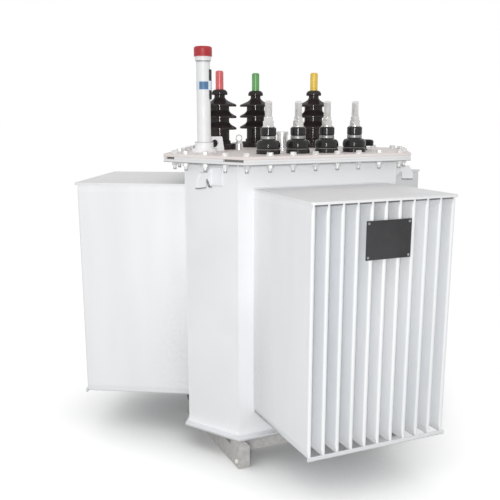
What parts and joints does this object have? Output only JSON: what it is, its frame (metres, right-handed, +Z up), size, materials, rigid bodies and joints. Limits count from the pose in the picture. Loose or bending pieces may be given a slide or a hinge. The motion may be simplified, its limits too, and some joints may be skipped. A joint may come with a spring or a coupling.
{
  "type": "power transformer",
  "caption": "Oil-immersed distribution transformer with a three-sided finned tank, bolted cover, porcelain bushings, oil filler tube and channel skids.",
  "frame": {"origin": "on the floor, under the middle of the outline seen from above", "axes": "+Z up, -Y towards the front fin bank, which carries the nameplate, +X to the right seen from the front"},
  "size_m": [1.524, 1.3238, 1.442],
  "materials": {
    "tank_paint": "satin",
    "cover_paint": "satin",
    "gasket_rubber": "matte",
    "fin_paint": "satin",
    "bank_top_paint": "satin",
    "base_steel": "satin",
    "hv_glaze": "gloss",
    "sleeve_red": "satin",
    "sleeve_green": "satin",
    "sleeve_yellow": "satin",
    "lv_glaze": "gloss",
    "tinned_metal": "satin",
    "tube_paint": "satin",
    "cap_red": "gloss",
    "gauge_black": "satin",
    "valve_metal": "satin",
    "bracket_paint": "satin",
    "plate_dark": "satin"
  },
  "bodies": {
    "root": {"front_wall": "tank_paint", "left_wall": "tank_paint", "right_wall": "tank_paint", "left_corner_wall": "tank_paint", "right_corner_wall": "tank_paint", "rear_corner_wall": "tank_paint", "tank_bottom": "tank_paint", "long_flange_bars": "tank_paint", "corner_flange_bars": "tank_paint", "rim_strips": "tank_paint", "lifting_hooks": "tank_paint", "cover_lug": "tank_paint", "cover": "cover_paint", "cover_gasket": "gasket_rubber", "front_fins": "fin_paint", "left_fins": "fin_paint", "right_fins": "fin_paint", "front_tie_bar": "fin_paint", "left_tie_bar": "fin_paint", "right_tie_bar": "fin_paint", "front_bank_top": "bank_top_paint", "left_bank_top": "bank_top_paint", "right_bank_top": "bank_top_paint", "left_skid": "base_steel", "right_skid": "base_steel", "cross_channels": "base_steel", "hv_bushing_red": "hv_glaze", "hv_bushing_green": "hv_glaze", "hv_bushing_yellow": "hv_glaze", "hv_sleeve_red": "sleeve_red", "hv_sleeve_green": "sleeve_green", "hv_sleeve_yellow": "sleeve_yellow", "lv_bushing_a": "lv_glaze", "lv_bushing_b": "lv_glaze", "lv_bushing_c": "lv_glaze", "lv_bushing_d": "lv_glaze", "lv_terminals": "tinned_metal", "filler_tube": "tube_paint", "filler_cap": "cap_red", "level_gauge": "gauge_black", "tap_changer_knob": "gauge_black", "relief_valve": "valve_metal", "thermometer_well": "valve_metal", "nameplate_bracket": "bracket_paint", "nameplate": "plate_dark"}
  },
  "joints": []
}
